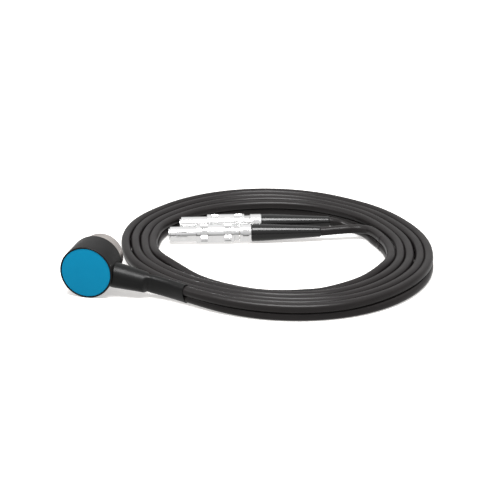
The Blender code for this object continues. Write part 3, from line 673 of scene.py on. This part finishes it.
def ridge_tree():
    """A ring of straight ridges about +Z, each half sunk into the surface that carries them."""
    tree, given, sockets = start_tree("ring_of_ridges", {
        "Count": "NodeSocketInt",
        "Ring radius": "NodeSocketFloat",
        "Ridge width": "NodeSocketFloat",
        "Ridge length": "NodeSocketFloat"})
    ring = add_node(
        tree, "GeometryNodeMeshCircle", links={
            "Vertices": given["Count"], "Radius": given["Ring radius"]})
    size = add_node(tree, "ShaderNodeCombineXYZ", links={
        "X": given["Ridge width"], "Y": given["Ridge width"], "Z": given["Ridge length"]})
    ridge = add_node(tree, "GeometryNodeMeshCube", links={"Size": size.outputs[0]})
    index = add_node(tree, "GeometryNodeInputIndex")
    step = add_node(
        tree, MATHS, {"operation": "DIVIDE", 0: 2.0 * math.pi}, {1: given["Count"]})
    # Turned by an eighth more, so that each ridge stands on its edge
    angle = add_node(
        tree, MATHS, {"operation": "MULTIPLY_ADD", 2: math.pi / 4.0}, {0: index, 1: step})
    turn = add_node(tree, "ShaderNodeCombineXYZ", links={"Z": angle})
    placed = add_node(
        tree, "GeometryNodeInstanceOnPoints",
        links={"Points": ring.outputs["Mesh"], "Instance": ridge.outputs["Mesh"],
               "Rotation": turn.outputs[0]})
    end_tree(tree, placed.outputs["Instances"], given)
    return tree, sockets


TREES = {}


def grow(name, kind, builder, values, slot, source=None):
    """Run a tree on a mesh and give back the plain mesh that it makes."""
    if kind not in TREES:
        TREES[kind] = builder()
    tree, sockets = TREES[kind]
    item = add_object(name + "_seed", source or bpy.data.meshes.new(name + "_seed"))
    change = item.modifiers.new("grow", "NODES")
    change.node_group = tree
    for label, value in values.items():
        change[sockets[label]] = value
    change[sockets["Material"]] = MATERIALS[slot]
    bpy.context.view_layer.update()
    graph = bpy.context.evaluated_depsgraph_get()
    mesh = bpy.data.meshes.new_from_object(item.evaluated_get(graph))
    mesh.name = name
    bpy.data.objects.remove(item)
    return mesh


def swept_cord(name, route, leans, half):
    """One cord, or a twin cord where the half spacing isn't zero, along a route in metres."""
    line = bpy.data.meshes.new(name + "_line")
    line.from_pydata(route, [(step, step + 1) for step in range(len(route) - 1)], [])
    lean = line.attributes.new("lean", "FLOAT", "POINT")
    lean.data.foreach_set("value", [math.radians(value) for value in leans])
    twin = half > 0.0
    mesh = grow(
        name, "twin" if twin else "single", lambda: cord_tree(twin),
        {"Cord radius": CORD_R * MM, "Half spacing": half * MM, "Web": TWIN_WEB * MM},
        "jacket", line)
    shape = bmesh.new()
    shape.from_mesh(mesh)
    bmesh.ops.recalc_face_normals(shape, faces=shape.faces)
    shape.to_mesh(mesh)
    shape.free()
    mesh.shade_smooth()
    mesh.set_sharp_from_angle(angle=math.radians(50.0))
    return mesh


def smooth_route(points, steps):
    """Points on a Catmull-Rom curve that passes through the chosen ones."""
    padded = [points[0] * 2.0 - points[1]] + list(points) + [points[-1] * 2.0 - points[-2]]
    route = []
    for first in range(len(points) - 1):
        a, b, c, d = padded[first:first + 4]
        for step in range(steps):
            t = step / steps
            route.append(0.5 * (
                2.0 * b + (c - a) * t + (2.0 * a - 5.0 * b + 4.0 * c - d) * t ** 2
                + (3.0 * b - a - 3.0 * c + d) * t ** 3))
    route.append(points[-1])
    return route


def stations_along(route, leans):
    """Middle, sideways and upright direction at each point of a route, with the lean there."""
    stations = []
    last = len(route) - 1
    for index, (point, lean) in enumerate(zip(route, leans)):
        heading = (route[min(index + 1, last)] - route[max(index - 1, 0)]).normalized()
        side = heading.cross(Vector((0.0, 0.0, 1.0))).normalized()
        upright = side.cross(heading).normalized()
        turn = Matrix.Rotation(math.radians(lean), 3, heading)
        stations.append((point, turn @ side, turn @ upright))
    return stations


def flat_oval(half_h, half_t, fullness, count=48):
    """A section from half height and half thickness. It is an oval at 1 and a brick near 0."""
    section = []
    for step in range(count):
        angle = 2.0 * math.pi * (step + 0.5) / count
        across = math.copysign(abs(math.cos(angle)) ** fullness, math.cos(angle))
        up = math.copysign(abs(math.sin(angle)) ** fullness, math.sin(angle))
        section.append((half_t * MM * across, half_h * MM * up))
    return section


# Camera, floor and light

def add_camera():
    data = bpy.data.cameras.new("camera")
    data.sensor_width = 36.0
    data.lens = CAMERA_LENS
    data.clip_start = 0.02
    data.clip_end = 20.0
    camera = add_object("camera", data)
    camera.location = Vector(CAMERA_PLACE) * MM
    aim = Vector(CAMERA_AIM) * MM
    camera.rotation_mode = "QUATERNION"
    camera.rotation_quaternion = (aim - camera.location).to_track_quat("-Z", "Y")
    bpy.context.scene.camera = camera


def add_floor():
    """A white table. The camera sees it near white, with the object's own shadow kept."""
    shape = bmesh.new()
    bmesh.ops.create_grid(shape, x_segments=1, y_segments=1, size=3.0)
    mesh = bpy.data.meshes.new("floor")
    shape.to_mesh(mesh)
    shape.free()
    floor = add_object("floor", mesh)
    material = bpy.data.materials.new("white_table")
    material.use_nodes = True
    tree = material.node_tree
    tree.nodes.clear()
    path = add_node(tree, "ShaderNodeLightPath")
    paper = add_node(tree, "ShaderNodeBsdfDiffuse", {"Color": srgb("#e8e6e4")})
    unlit = add_node(tree, "ShaderNodeBsdfDiffuse", {"Color": srgb("#a8a6a4")})
    glow = add_node(tree, "ShaderNodeEmission", {"Color": srgb("#fffdfb"), "Strength": 0.50})
    bright = add_node(
        tree, "ShaderNodeAddShader", links={0: paper.outputs[0], 1: glow.outputs[0]})
    seen = add_node(
        tree, "ShaderNodeMixShader",
        links={0: path.outputs["Is Camera Ray"], 1: unlit.outputs[0], 2: bright.outputs[0]})
    mirrored = add_node(tree, "ShaderNodeEmission", {"Color": srgb("#f4f3f2"), "Strength": 0.95})
    mixed = add_node(
        tree, "ShaderNodeMixShader",
        links={0: path.outputs["Is Glossy Ray"], 1: seen.outputs[0], 2: mirrored.outputs[0]})
    add_node(tree, "ShaderNodeOutputMaterial", links={"Surface": mixed.outputs[0]})
    mesh.materials.append(material)


def add_light():
    scene = bpy.context.scene
    scene.view_settings.view_transform = "Standard"
    world = bpy.data.worlds.new("studio")
    scene.world = world
    world.use_nodes = True
    tree = world.node_tree
    tree.nodes.clear()
    path = add_node(tree, "ShaderNodeLightPath")
    coords = add_node(tree, "ShaderNodeTexCoord")
    split = add_node(tree, "ShaderNodeSeparateXYZ", links={"Vector": coords.outputs["Generated"]})
    # A room seen in gloss: white overhead, dimmer towards the walls
    height = add_node(
        tree, "ShaderNodeMapRange",
        {"From Min": 0.0, "From Max": 0.75, "To Min": 0.45, "To Max": 1.0},
        {"Value": split.outputs["Z"]})
    tent = add_node(tree, "ShaderNodeBackground", {"Color": srgb("#f6f5f5"), "Strength": 0.60})
    white = add_node(
        tree, "ShaderNodeBackground", {"Color": (1.0, 1.0, 1.0, 1.0), "Strength": 1.0})
    room = add_node(
        tree, "ShaderNodeBackground", {"Color": (1.0, 1.0, 1.0, 1.0)},
        {"Strength": height.outputs["Result"]})
    lit = add_node(
        tree, "ShaderNodeMixShader",
        links={0: path.outputs["Is Glossy Ray"], 1: tent.outputs[0], 2: room.outputs[0]})
    mix = add_node(
        tree, "ShaderNodeMixShader",
        links={0: path.outputs["Is Camera Ray"], 1: lit.outputs[0], 2: white.outputs[0]})
    add_node(tree, "ShaderNodeOutputWorld", links={"Surface": mix.outputs[0]})
    lamps = [
        ("softbox_over", (0.07, -0.16, 0.57), (0.045, 0.03, 0.0), (0.40, 0.26), 5.8),
        ("softbox_left", (-0.55, -0.25, 0.42), (0.03, 0.02, 0.0), (0.40, 0.40), 0.8),
    ]
    for name, place, aim, size, power in lamps:
        data = bpy.data.lights.new(name, "AREA")
        data.shape = "RECTANGLE"
        data.size, data.size_y = size
        data.energy = power
        lamp = add_object(name, data)
        lamp.location = place
        facing = (Vector(aim) - Vector(place)).to_track_quat("-Z", "Y")
        lamp.rotation_euler = facing.to_euler()


# The twin lead and the single cords

def coil_point(wound, height, aside=0.0):
    """A point of the wound lead's middle line, in millimetres, after winding on by an angle."""
    angle = math.radians(COIL_START) + wound
    oval = COIL_OVAL * math.cos(2.0 * (angle - math.radians(COIL_OVAL_AT)))
    lobe = COIL_LOBE * math.cos(3.0 * (angle - math.radians(COIL_LOBE_AT)))
    turns = wound / (2.0 * math.pi)
    radius = COIL_R + oval + lobe - COIL_PITCH * turns + aside
    off = math.remainder(angle - math.radians(SLACK_AT), 2.0 * math.pi)
    spread = math.radians(SLACK_SPREAD)
    if abs(off) < spread / 2.0:
        radius += math.cos(math.pi * off / spread) ** 2 * (SLACK_OUTER - SLACK_PER_TURN * turns)
    return Vector((COIL_X + radius * math.cos(angle), COIL_Y + radius * math.sin(angle), height))


def between(keys, at, column=1):
    """The value at a place in a list that starts with the place, eased from one to the next."""
    if at <= keys[0][0]:
        return keys[0][column]
    for low, high in zip(keys, keys[1:]):
        if at <= high[0]:
            share = ease((at - low[0]) / (high[0] - low[0]))
            return low[column] + (high[column] - low[column]) * share
    return keys[-1][column]


def wave(size, pace, phase, wound):
    return size * math.sin(pace * wound + phase)


def coil_station(wound):
    """A point of the twin lead and how far its section leans there."""
    full = 2.0 * math.pi
    fade = ease(max(0.0, 1.0 - wound / MOUTH_END))
    free = min(1.0, wound / FREE_FROM) * min(1.0, (COIL_TURNS * full - wound) / HELD_FROM)
    first = SWAY[0][0]
    place = (math.degrees(wound) + COIL_START - first) % 360.0 + first
    rolled = math.radians(between(ROLLED_OVER, math.degrees(wound)))
    lean = between(SWAY, place) * (1.0 - fade) * free * math.cos(rolled)
    lean += SLEEVE_LEAN * fade + free * wave(*LEAN_WANDER, wound) * math.cos(rolled)
    lean -= math.degrees(rolled)
    settled = between(SETTLED, place) + between(SETTLED, place, 2) * wound / full
    settled += between(PRESSED, math.degrees(wound))
    settled += sum(wave(*part, wound) for part in WANDER)
    shift = TWIN_HALF * math.sin(math.radians(lean))
    aside = MOUTH_ASIDE * fade + settled * free + shift * (1.0 - fade)
    height = CORD_R + TWIN_HALF * math.cos(math.radians(lean)) * (1.0 - fade) + (
        TWIN_HALF + MOUTH_RISE) * fade
    return coil_point(wound, height, aside), lean


def add_twin_lead():
    """The figure-eight lead from inside the sleeve, round the coil to where its cords part."""
    inside = [Vector(point) for point in SLEEVE_ROUTE[-2:]]
    count = round(COIL_TURNS * STEPS_PER_TURN)
    points = []
    leans = []
    for step in range(4):
        points.append(inside[0].lerp(inside[1], step / 4.0))
        leans.append(SLEEVE_LEAN)
    for step in range(count + 1):
        point, lean = coil_station(COIL_TURNS * 2.0 * math.pi * step / count)
        points.append(point)
        leans.append(lean)
    route = [point * MM for point in points]
    mesh = swept_cord("twin_lead", route, leans, TWIN_HALF)
    lead = add_piece("twin_lead", mesh, "jacket", PROBE, ("cable_coil", "cable_entry"))


def add_single_cord(word):
    """One of the two cords after the split, up into the bore of its plug's boot."""
    side = 1.0 if word == "front" else -1.0
    points = []
    # It starts inside the twin lead's end, then goes its own way and straight into the boot
    for back in (3.0, 2.0, 1.0, 0.0):
        wound = COIL_TURNS * 2.0 * math.pi - back / 36.0
        points.append(coil_point(wound, CORD_R + TWIN_HALF + side * TWIN_HALF))
    points += [Vector(point) for point in LEAD_ROUTES[word]]
    for along in (BOOT_END + 0.3, BOOT_END - 5.0, BOOT_END - 11.0):
        points.append(Vector((*PLUG_TIPS[word], PLUG_Z)) + PLUG_DIRECTION * along)
    route = [point * MM for point in smooth_route(points, 8)]
    name = "single_cord_" + word
    mesh = swept_cord(name, route, [0.0] * len(route), 0.0)
    cord = add_piece(name, mesh, "jacket", PROBE, ("lead_" + word,))


def add_shrunk_sleeve():
    """The sleeve: round over the ferrule, a pinch behind it, then flat over the twin lead."""
    route = smooth_route([Vector(point) for point in SLEEVE_ROUTE], 16)
    leans = []
    outer = []
    travelled = -SLEEVE_AHEAD
    last = None
    for point in route:
        if last is not None:
            travelled += (point - last).length
        last = point
        flat = ease(min(max((travelled - FERRULE_L) / FLATTENING_L, 0.0), 1.0))
        along = min(max(travelled / FERRULE_L, 0.0), 1.0)
        round_r = SLEEVE_ROOT_R + (SLEEVE_STEP_R - SLEEVE_ROOT_R) * along
        pinch = PINCH * math.exp(
            -((travelled - FERRULE_L - PINCH_BEHIND) / PINCH_SPREAD) ** 2)
        half_h = round_r + (SLEEVE_HALF_H - round_r) * flat - pinch
        half_t = round_r + (SLEEVE_HALF_T - round_r) * flat - pinch
        leans.append(SLEEVE_LEAN * flat)
        outer.append((half_h, half_t, 1.0 - 0.2 * flat))
    stations = stations_along([point * MM for point in route], leans)
    shape = bmesh.new()
    skins = []
    for wall in (0.0, SLEEVE_WALL):
        rings = []
        for (point, side, upright), (half_h, half_t, fullness) in zip(stations, outer):
            rings.append([shape.verts.new(point + side * across + upright * up)
                          for across, up in flat_oval(half_h - wall, half_t - wall, fullness)])
        skins.append(rings)
    count = len(skins[0][0])
    for rings in skins:
        for lower, upper in zip(rings, rings[1:]):
            for step in range(count):
                after = (step + 1) % count
                shape.faces.new((lower[step], lower[after], upper[after], upper[step]))
    for end in (0, -1):
        for step in range(count):
            after = (step + 1) % count
            shape.faces.new((skins[0][end][step], skins[0][end][after],
                             skins[1][end][after], skins[1][end][step]))
    mesh = close_mesh("shrunk_sleeve", shape, 60.0)
    sleeve = add_object("shrunk_sleeve_raw", mesh)
    reach = HOUSING_R + 0.03
    body = turned_mesh(
        "housing_reach",
        [(0.0, 0.0, 0.0), (reach, 0.0, 0.0), (reach, HOUSING_L, 0.0), (0.0, HOUSING_L, 0.0)],
        PROBE_PLACE)
    trimmed = cut_with(sleeve, [body])
    add_piece("shrunk_sleeve", trimmed, "shrink", PROBE, ("relief_sleeve",))


def cut_with(item, cutters):
    """Cut an object with meshes, and give back the plain mesh that is left. The object goes."""
    helpers = []
    for index, mesh in enumerate(cutters):
        helper = add_object(f"cutter_{index}", mesh)
        change = item.modifiers.new(f"cut_{index}", "BOOLEAN")
        change.operation = "DIFFERENCE"
        change.solver = "EXACT"
        change.object = helper
        helpers.append(helper)
    bpy.context.view_layer.update()
    graph = bpy.context.evaluated_depsgraph_get()
    mesh = bpy.data.meshes.new_from_object(item.evaluated_get(graph))
    for helper in helpers + [item]:
        bpy.data.objects.remove(helper)
    mesh.materials.clear()
    mesh.shade_smooth()
    mesh.set_sharp_from_angle(angle=math.radians(35.0))
    return mesh


def box_mesh(name, low, high, place):
    shape = bmesh.new()
    bmesh.ops.create_cube(shape, size=1.0)
    for vertex in shape.verts:
        vertex.co = Vector([
            (start + (end - start) * (share + 0.5)) * MM
            for start, end, share in zip(low, high, vertex.co)])
    mesh = bpy.data.meshes.new(name)
    shape.to_mesh(mesh)
    shape.free()
    mesh.transform(place)
    return mesh


# Probe pieces

def add_probe():
    housing_corners = [
        (0.0, LABEL_RECESS, 0.0),
        (LABEL_SEAT_R, LABEL_RECESS, 0.05),
        (LABEL_SEAT_R, 0.0, 0.08),
        (HOUSING_R, 0.0, 0.35),
        (HOUSING_R, HOUSING_L, 0.35),
        (BORE_R, HOUSING_L, 0.15),
        (BORE_R, HOUSING_FLOOR, 0.2),
        (0.0, HOUSING_FLOOR, 0.0),
    ]
    raw = add_object(
        "housing_raw", turned_mesh("housing_raw", housing_corners, PROBE_PLACE, PROBE_SEGMENTS))
    hole = turned_mesh(
        "exit_hole",
        [(0.0, -4.0, 0.0), (EXIT_HOLE_R, -4.0, 0.0), (EXIT_HOLE_R, 4.0, 0.0), (0.0, 4.0, 0.0)],
        place_on(EXIT_POINT, EXIT_AXIS), 48)
    add_piece("probe_housing", cut_with(raw, [hole]), "housing", PROBE, ("housing",))

    label_corners = [
        (0.0, LABEL_START, 0.0),
        (LABEL_R, LABEL_START, 0.12),
        (LABEL_R, LABEL_END, 0.0),
        (0.0, LABEL_END, 0.0),
    ]
    label = turned_mesh("blue_label", label_corners, PROBE_PLACE, PROBE_SEGMENTS)
    add_piece("blue_label", label, "label", PROBE, ("label_plate",))

    nose_corners = [
        (NOSE_BORE_R, NOSE_START, 0.0),
        (NOSE_R, NOSE_START, 0.2),
        (NOSE_R, PROBE_L, 0.45),
        (NOSE_BORE_R, PROBE_L, 0.1),
    ]
    nose = turned_mesh("steel_nose", nose_corners, PROBE_PLACE, PROBE_SEGMENTS)
    add_piece("steel_nose", nose, "steel", PROBE, ("nose_ring",))


def add_windings():
    """Enamelled wire wound on the two small inductors inside the housing."""
    for side, word in ((-1.0, "left"), (1.0, "right")):
        wire = grow(
            "winding_" + word, "helix", helix_tree,
            {"Turns": WINDING_TURNS, "Helix radius": WINDING_R * MM,
             "Height": (WINDING_TURNS - 1.0) * 2.0 * WIRE_R * 1.05 * MM,
             "Wire radius": WIRE_R * MM},
            "copper")
        wire.transform(place_on(
            (-side * INDUCTOR_ASIDE, WINDING_START, HOUSING_R), (0.0, 1.0, 0.0)))
        wire.shade_smooth()
        add_piece("winding_" + word, wire, "copper", PROBE)


# Plug pieces

def add_plug_pieces(word):
    place = PLUG_PLACES[word]
    stem = f"plug_{word}_"

    barrel_corners = [
        (BARREL_BORE, BARREL_START, 0.05),
        (BARREL_R, BARREL_START, 0.18),
        (BARREL_R, BARREL_END, 0.0),
        (BARREL_BORE, BARREL_END, 0.0),
    ]
    barrel = add_object(
        stem + "barrel_raw", turned_mesh(stem + "barrel_raw", barrel_corners, place, 80))
    slots = []
    half = TONGUE_HALF_W
    inner = TONGUE_HALF_W - SLOT_W
    for side in (-1.0, 1.0):
        # Two slots beside each latch tongue and one in front of it, cut through the wall
        low, high = sorted((side * 2.0, side * RELEASE_R))
        front = TONGUE_START + SLOT_W
        slots.append(box_mesh("slot", (-half, low, front), (-inner, high, TONGUE_END), place))
        slots.append(box_mesh("slot", (inner, low, front), (half, high, TONGUE_END), place))
        slots.append(box_mesh("slot", (-half, low, TONGUE_START), (half, high, front), place))
    mesh = cut_with(barrel, slots)
    add_piece(stem + "barrel", mesh, "plating", PROBE, (stem + "latch_sleeve",))

    release_corners = [
        (RELEASE_BORE, RELEASE_START, 0.05),
        (RELEASE_R, RELEASE_START, 0.3),
    ]
    for start, end in GRIP_BANDS:
        release_corners += [
            (RELEASE_R, start, 0.05),
            (RELEASE_R - GRIP_DEPTH, start + GRIP_BEVEL, 0.05),
            (RELEASE_R - GRIP_DEPTH, end - GRIP_BEVEL, 0.05),
            (RELEASE_R, end, 0.05),
        ]
    release_corners += [
        (RELEASE_R, RELEASE_END, 0.3),
        (RELEASE_BORE, RELEASE_END, 0.05),
    ]
    release = turned_mesh(stem + "grip", release_corners, place)
    add_piece(stem + "grip", release, "plating", word + "_release", (stem + "release_sleeve",))
    for index, (start, end) in enumerate(GRIP_BANDS):
        ridges = grow(
            f"{stem}grip_ridges_{index}", "ridges", ridge_tree,
            {"Count": RIDGE_COUNT, "Ring radius": (RELEASE_R - GRIP_DEPTH) * MM,
             "Ridge width": RIDGE_W * MM, "Ridge length": (end - start - RIDGE_CLEAR) * MM},
            "plating")
        ridges.transform(place @ Matrix.Translation((0.0, 0.0, (start + end) / 2.0 * MM)))
        add_piece(f"{stem}grip_ridges_{index}", ridges, "plating", word + "_release")

    core_corners = [
        (CORE_BORE, 0.0, 0.05),
        (CORE_R, 0.0, 0.08),
        (CORE_R, SHOULDER_START, 0.0),
        (SHOULDER_R, SHOULDER_START, 0.05),
        (SHOULDER_R, SHOULDER_END, 0.05),
        (CORE_R, SHOULDER_END, 0.0),
        (CORE_R, NECK_START, 0.0),
        (NECK_R, NECK_START, 0.05),
        (NECK_R, NECK_START + NECK_L, 0.05),
        (CORE_BORE, NECK_START + NECK_L, 0.0),
    ]
    core = turned_mesh(stem + "neck", core_corners, place, 64)
    add_piece(stem + "neck", core, "plating", PROBE, (stem + "core",))
    thread = grow(
        stem + "thread", "helix", helix_tree,
        {"Turns": THREAD_TURNS, "Helix radius": (NECK_R - THREAD_SUNK) * MM,
         "Height": THREAD_L * MM, "Wire radius": THREAD_CREST_R * MM}, "plating")
    thread.transform(place @ Matrix.Translation((0.0, 0.0, (NECK_START + THREAD_START) * MM)))
    thread.shade_smooth()
    add_piece(stem + "thread", thread, "plating", PROBE)

    nut_corners = [
        (NUT_BORE, NUT_START, 0.05),
        (NUT_R, NUT_START, 0.3),
        (NUT_R, NUT_END, 0.3),
        (NUT_BORE, NUT_END, 0.05),
    ]
    nut = add_object(stem + "nut_raw", turned_mesh(stem + "nut_raw", nut_corners, place))
    flats = []
    reach = NUT_R + 0.55
    for side in (-1.0, 1.0):
        low, high = sorted((side * NUT_FLATS, side * reach))
        flats.append(box_mesh(
            "flat", (-reach, low, NUT_START + FLATS_START), (reach, high, NUT_START + FLATS_END),
            place))
    add_piece(stem + "nut", cut_with(nut, flats), "plating", PROBE, (stem + "back_nut",))

    boot_corners = [
        (BOOT_BORE, BOOT_START - BOOT_SPIGOT_L, 0.0),
        (BOOT_SPIGOT_R, BOOT_START - BOOT_SPIGOT_L, 0.0),
        (BOOT_SPIGOT_R, BOOT_START, 0.0),
        (BOOT_R, BOOT_START, 0.25),
        (BOOT_R, BOOT_START + 2.8, 0.9),
        (1.8, BOOT_END - 0.3, 0.3),
        (1.65, BOOT_END, 0.15),
        (BOOT_BORE, BOOT_END, 0.05),
    ]
    boot = turned_mesh(stem + "bend_relief", boot_corners, place, 72)
    add_piece(stem + "bend_relief", boot, "boot", PROBE, (stem + "boot",))


def dress_hidden_nodes():
    """Solids whose shape is right stay, in their own material."""
    for entry in frame["record"]["subparts"]:
        node = NODES[entry["node"]]
        node.data.materials.clear()
        node.data.materials.append(MATERIALS[entry["material_slot"]])


dress_hidden_nodes()
add_camera()
add_floor()
add_light()
add_shrunk_sleeve()
add_probe()
add_windings()
for plug_word in PLUG_TIPS:
    add_plug_pieces(plug_word)
add_twin_lead()
for plug_word in PLUG_TIPS:
    add_single_cord(plug_word)

bpy.context.view_layer.update()
